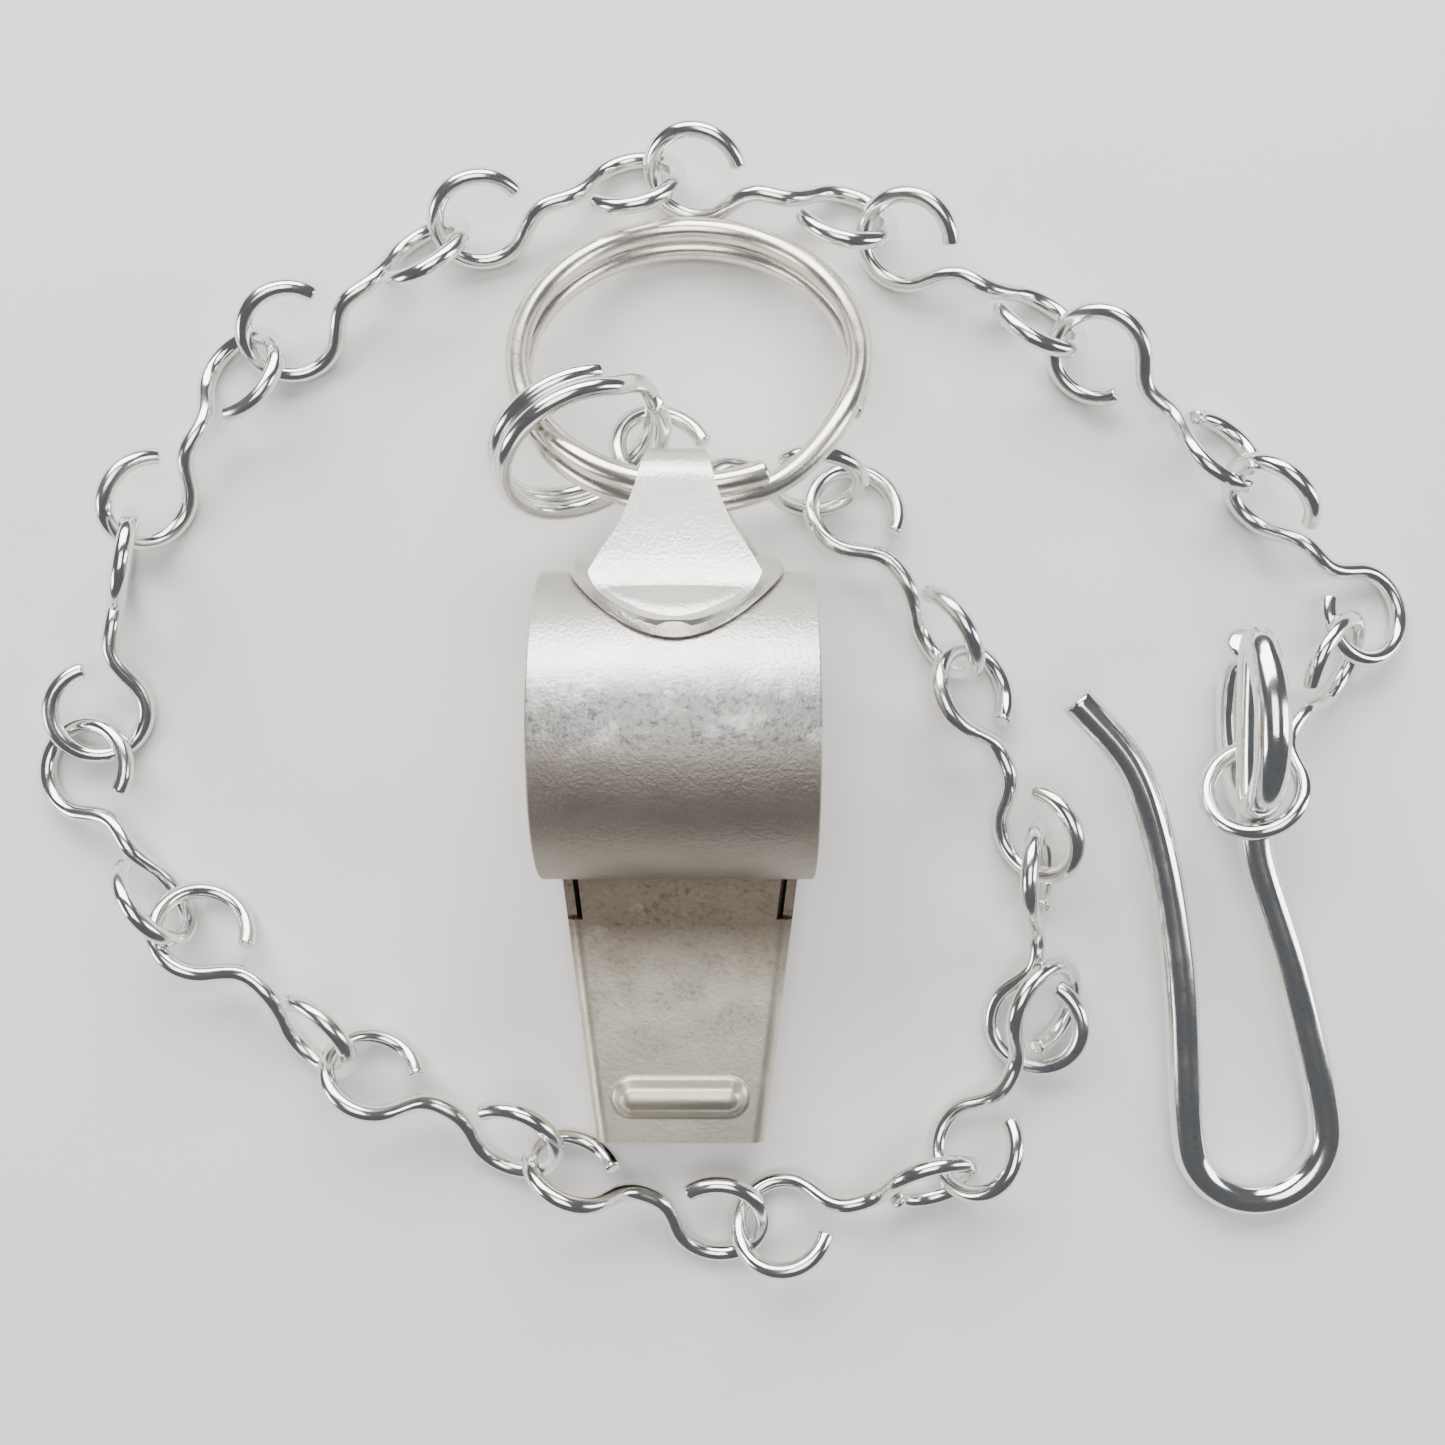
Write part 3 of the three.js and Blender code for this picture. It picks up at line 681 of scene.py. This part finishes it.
def buildMouth():
    s = mouthSettings
    tipY = undersideLow.y
    rootY = -math.sqrt(barrelRadius ** 2 - (barrelRadius * (1 - s["rootHeight"])) ** 2)
    reach = axisY - tipY
    widthRoot = s["rootWidth"] * barrelWidth / 2
    widthTip = s["tipWidth"] * barrelWidth / 2
    taper = (widthRoot - widthTip) / (reach + rootY)
    topRoot = s["rootHeight"] * barrelRadius
    slope = (topRoot - s["tipHeight"]) / (reach + rootY)

    def halfWidth(y):
        return widthTip + taper * (y - axisY + reach)

    def top(y):
        return s["tipHeight"] + slope * (y - axisY + reach)

    clear = barrelRadius + s["gap"]
    across = s["across"]
    section = []
    for i in range(s["down"]):
        section.append(("left", i / s["down"]))
    for i in range(s["round"]):
        section.append(("leftCorner", i / s["round"]))
    for i in range(across + 1):
        section.append(("top", i / across))
    for i in range(1, s["round"] + 1):
        section.append(("rightCorner", i / s["round"]))
    for i in range(1, s["down"] + 1):
        section.append(("right", i / s["down"]))

    def pointAt(kind, t, y):
        w, h, r, foot = halfWidth(y), top(y), s["corner"], s["cheekFoot"]
        if kind == "left":
            return -w, foot + (h - r - foot) * t
        if kind == "leftCorner":
            a = math.pi / 2 * t
            return -w + r - r * math.cos(a), h - r + r * math.sin(a)
        if kind == "top":
            return -w + r + (2 * w - 2 * r) * t, h
        if kind == "rightCorner":
            a = math.pi / 2 * t
            return w - r + r * math.sin(a), h - r + r * math.cos(a)
        return w, h - r - (h - r - foot) * t

    barY = tipY + s["barSetback"]

    def barRise(x, y):
        reachX = max(abs(x) - (s["barWidth"] - s["barDepth"]) / 2, 0)
        away = math.hypot(reachX, (y - barY)) / (s["barDepth"] / 2)
        if away >= 1.15:
            return 0.0
        if away <= 0.4:
            return s["barRise"] * 0.88 + s["barRise"] * 0.12 * (1 - (away / 0.4) ** 2)
        t = (1.15 - away) / 0.75
        return s["barRise"] * 0.88 * t * t * (3 - 2 * t)

    bm = bmesh.new()
    grid = []
    notchEnd = axisY + rootY - s["notchLength"]
    for kind, t in section:
        column = []
        for j in range(s["along"] + 1):
            v = j / s["along"]
            y = tipY + v * (axisY + rootY - tipY)
            for _ in range(4):
                x, z = pointAt(kind, t, y)
                end = axisY - math.sqrt(max(clear ** 2 - (z - axisZ) ** 2, 1e-9))
                y = tipY + v * (end - tipY)
            x, z = pointAt(kind, t, y)
            if kind == "top":
                z += barRise(x, y)
            column.append(bm.verts.new((axisX + x, y, z)))
        grid.append(column)
    for i in range(len(grid) - 1):
        for j in range(s["along"]):
            corners = (grid[i][j], grid[i + 1][j], grid[i + 1][j + 1], grid[i][j + 1])
            middle = sum((v.co for v in corners), Vector()) / 4
            width = halfWidth(middle.y)
            edgeIn = width - abs(middle.x - axisX)
            atCorner = middle.y > notchEnd and edgeIn < s["notchWidth"]
            if not (atCorner and middle.z > top(middle.y) - 1.0 * mm):
                bm.faces.new(corners)
    loose = [v for v in bm.verts if not v.link_faces]
    bmesh.ops.delete(bm, geom=loose, context="VERTS")
    bmesh.ops.recalc_face_normals(bm, faces=bm.faces)
    topFace = max(bm.faces, key=lambda f: f.calc_center_median().z)
    if topFace.normal.z < 0:
        bmesh.ops.reverse_faces(bm, faces=bm.faces)
    bmesh.ops.solidify(bm, geom=list(bm.faces), thickness=s["sheet"] * 0.95)
    return addPiece("mouthpieceShell", bm, mouthMetal, "whistle",
                    ["mouth_underside", "left_cheek", "right_cheek"], 50)


bailSettings = {
    "elevation": 12.0,
    "gap": 0.3 * mm,
    "sheet": 0.8 * mm,
    "strip": 0.9 * mm,
    "nose": 3.0 * mm,
    "reach": 8.9 * mm,
    "tipHalfWidth": 2.3 * mm,
    "flangeHalfWidth": 7.8 * mm,
    "flangeHalfHeight": 8.6 * mm,
    "legSteps": 40,
    "noseSteps": 33,
    "across": 28,
    "flangeRings": 20,
    "flangeTurns": 96,
}


def buildBail():
    s = bailSettings
    seat = barrelRadius + s["gap"]
    flangeOuter = seat + s["sheet"]
    reach = barrelRadius + s["reach"]
    nose = reach - s["nose"]
    turn = Matrix.Rotation(math.radians(s["elevation"]), 4, "X")
    origin = Vector((axisX, axisY, axisZ))
    halfPoints = [
        (0.80 * barrelRadius, 0.995 * math.sqrt(flangeOuter ** 2 - (0.80 * barrelRadius) ** 2), 0),
        (0.88 * barrelRadius, 0.985 * math.sqrt(flangeOuter ** 2 - (0.88 * barrelRadius) ** 2), 0),
        (0.97 * barrelRadius, 0.47 * flangeOuter, 0),
        (barrelRadius + 1.2 * mm, 0.385 * flangeOuter, 0),
        ((barrelRadius + nose) / 2 + 0.4 * mm, s["nose"] + 0.85 * mm, 0),
        (nose, s["nose"], 0),
    ]
    leg = [(p[0], p[1]) for p in curveThrough(halfPoints, s["legSteps"])]
    noseArc = [(nose + s["nose"] * math.cos(a), s["nose"] * math.sin(a))
               for a in np.linspace(math.pi / 2, -math.pi / 2, s["noseSteps"])]
    outline = leg + noseArc[1:-1] + [(a, -b) for a, b in reversed(leg)]
    side = curveThrough([
        (0.75 * s["flangeHalfWidth"], 0, 0),
        (0.95 * s["flangeHalfWidth"], 0.8 * barrelRadius, 0),
        (0.72 * s["flangeHalfWidth"], barrelRadius + 1.4 * mm, 0),
        (0.5 * s["flangeHalfWidth"], (barrelRadius + reach) / 2 - 0.4 * mm, 0),
        (s["tipHalfWidth"] + 0.5 * mm, reach - 2.2 * mm, 0),
        (s["tipHalfWidth"], reach - 0.5 * mm, 0),
        (s["tipHalfWidth"] * 0.82, reach + 0.2 * mm, 0),
    ], 80)

    def stripHalf(distance):
        return float(np.interp(distance, side[:, 1], side[:, 0]))

    bm = bmesh.new()
    across = s["across"]
    rows = []
    for a, b in outline:
        room = max(1 - (b / s["flangeHalfHeight"]) ** 2, 0)
        onFlange = a < barrelRadius + 2.5 * mm    # there the strip stays inside the oval
        widest = 0.97 * s["flangeHalfWidth"] * math.sqrt(room) if onFlange else math.inf
        width = max(min(stripHalf(a), widest), 0.4 * mm)
        fade = min(1.0, max(0.0, (nose + 1.5 * mm - a) / (3 * mm)))
        outward = 1 if b > 0 else -1
        row = []
        for i in range(across + 1):
            t = -1 + 2 * i / across
            sag = 0.35 * mm * (1 - t * t) * outward * fade
            p = turn @ Vector((width * t, a, b - sag * 0.4))
            row.append(bm.verts.new(origin + p))
        rows.append(row)
    for lower, upper in zip(rows[:-1], rows[1:]):
        for i in range(across):
            bm.faces.new((lower[i], lower[i + 1], upper[i + 1], upper[i]))
    bmesh.ops.recalc_face_normals(bm, faces=bm.faces)
    probe = max(bm.faces, key=lambda f: f.calc_center_median().y)
    if probe.normal.y < 0:
        bmesh.ops.reverse_faces(bm, faces=bm.faces)
    bmesh.ops.solidify(bm, geom=list(bm.faces), thickness=s["strip"] * 0.95)
    turns = s["flangeTurns"]
    radii = [k / s["flangeRings"] for k in range(s["flangeRings"] + 1)]
    stack = []
    for level, isOuter in ((seat + 0.02 * mm, False), (flangeOuter, True)):
        ring = []
        for share in radii[1:]:
            line = []
            for k in range(turns):
                a = 2 * math.pi * k / turns
                x = s["flangeHalfWidth"] * share * math.cos(a)
                z = s["flangeHalfHeight"] * share * math.sin(a)
                r = level
                if isOuter and share > 0.9:
                    r = level - s["sheet"] * 0.9 * ((share - 0.9) / 0.1) ** 2
                y = math.sqrt(max(r * r - z * z, 0))
                line.append(bm.verts.new(origin + turn @ Vector((x, y, z))))
            ring.append(line)
        centre = bm.verts.new(origin + turn @ Vector((0, level, 0)))
        for k in range(turns):
            fan = (centre, ring[0][k], ring[0][(k + 1) % turns])
            bm.faces.new(fan if isOuter else tuple(reversed(fan)))
        for inner, outer in zip(ring[:-1], ring[1:]):
            for k in range(turns):
                n = (k + 1) % turns
                quad = (inner[k], outer[k], outer[n], inner[n])
                bm.faces.new(quad if isOuter else tuple(reversed(quad)))
        stack.append(ring[-1])
    for k in range(turns):
        n = (k + 1) % turns
        bm.faces.new((stack[0][k], stack[1][k], stack[1][n], stack[0][n]))
    return addPiece("ringBail", bm, bailMetal, "whistle", ["ring_bail"], 40)


buildBarrel()
buildCap("leftEndPlate", "left_end_plate", -1)
buildCap("rightEndPlate", "right_end_plate", 1)
buildMouth()
buildBail()
print("stage: whistle built")

placedWire("largeSplitRing", "large_split_ring", "large_ring", splitRingPath(largeRingSettings),
           largeRingSettings, largeRingMetal)
placedWire("smallSplitRing", "small_split_ring", "small_ring", splitRingPath(smallRingSettings),
           smallRingSettings, smallRingMetal)
oneLink = linkPath(linkSettings)
for number in range(1, linkSettings["count"] + 1):
    label = f"{number:02d}"
    placedWire(f"chainLink{label}", f"chain_link_{label}", f"link_{label}", oneLink,
               linkSettings, chainMetal)
placedWire("beltHook", "belt_hook", "hook", hookPath(hookSettings), hookSettings, hookMetal)
print("stage: wires built")


studio = {
    "cameraHeight": 126.5 * mm,
    "cameraAside": 3.3 * mm,
    "cameraAlong": 0.2 * mm,
    "lens": 38.6,
    "sensor": 36.0,
    "floorHalf": 1.6,
    "floorColor": (0.78, 0.77, 0.75, 1),
    "worldColor": (0.80, 0.84, 0.90, 1),
    "worldStrength": 0.16,
    "lights": [    # name, place, target, size, power, colour
        ("keyLight", (-0.06, 0.36, 0.30), (0, 0.03, 0), (0.60, 0.30), 5.6, (1.0, 0.99, 0.97)),
        ("topLight", (0.0, -0.02, 0.62), (0, 0, 0), (0.36, 0.36), 2.1, (1.0, 0.98, 0.95)),
        ("fillLight", (0.44, -0.02, 0.20), (0, 0, 0), (0.16, 0.30), 1.2, (0.95, 0.97, 1.0)),
        ("lowLight", (-0.42, -0.14, 0.16), (0, 0, 0), (0.2, 0.14), 0.8, (1.0, 0.97, 0.94)),
    ],
}


def floorMaterial():
    material, tree, shader, place = startMaterial("paleFloor")
    tone = useGroup(tree, blotches, {"Scale": 60.0, "Low": 0.3, "High": 0.8}, {"Vector": place})
    r, g, b, a = studio["floorColor"]
    color = mixColor(tree, math2(tree, "MULTIPLY", tone, 0.25), (r, g, b, a),
                     (r * 0.95, g * 0.95, b * 0.95, a))
    tree.links.new(color, shader.inputs["Base Color"])
    shader.inputs["Roughness"].default_value = 0.8
    shader.inputs["Specular IOR Level"].default_value = 0.2
    return material


def buildFloor():
    bm = bmesh.new()
    bmesh.ops.create_grid(bm, x_segments=2, y_segments=2, size=studio["floorHalf"])
    bmesh.ops.translate(bm, vec=(0, 0, -0.02 * mm), verts=bm.verts)
    mesh = bpy.data.meshes.new("floor")
    bm.to_mesh(mesh)
    bm.free()
    floor = bpy.data.objects.new("floor", mesh)
    bpy.context.scene.collection.objects.link(floor)
    mesh.materials.append(floorMaterial())


def areaLight(name, place, target, size, power, color):
    data = bpy.data.lights.new(name, "AREA")
    data.shape = "RECTANGLE"
    data.size, data.size_y = size
    data.energy = power
    data.color = color
    light = bpy.data.objects.new(name, data)
    light.location = place
    light.rotation_mode = "QUATERNION"
    light.rotation_quaternion = (Vector(target) - Vector(place)).to_track_quat("-Z", "Y")
    bpy.context.scene.collection.objects.link(light)


def buildStudio():
    for light in studio["lights"]:
        areaLight(*light)
    world = bpy.data.worlds.new("studioWorld")
    world.use_nodes = True
    background = world.node_tree.nodes["Background"]
    background.inputs["Color"].default_value = studio["worldColor"]
    background.inputs["Strength"].default_value = studio["worldStrength"]
    bpy.context.scene.world = world
    data = bpy.data.cameras.new("photoCamera")
    data.sensor_width = studio["sensor"]
    data.lens = studio["lens"]
    data.clip_start = 0.01
    data.clip_end = 20
    camera = bpy.data.objects.new("photoCamera", data)
    camera.location = (
        axisX + studio["cameraAside"],
        axisY + studio["cameraAlong"],
        studio["cameraHeight"],
    )
    bpy.context.scene.collection.objects.link(camera)
    bpy.context.scene.camera = camera


buildFloor()
buildStudio()
print("stage: studio built")
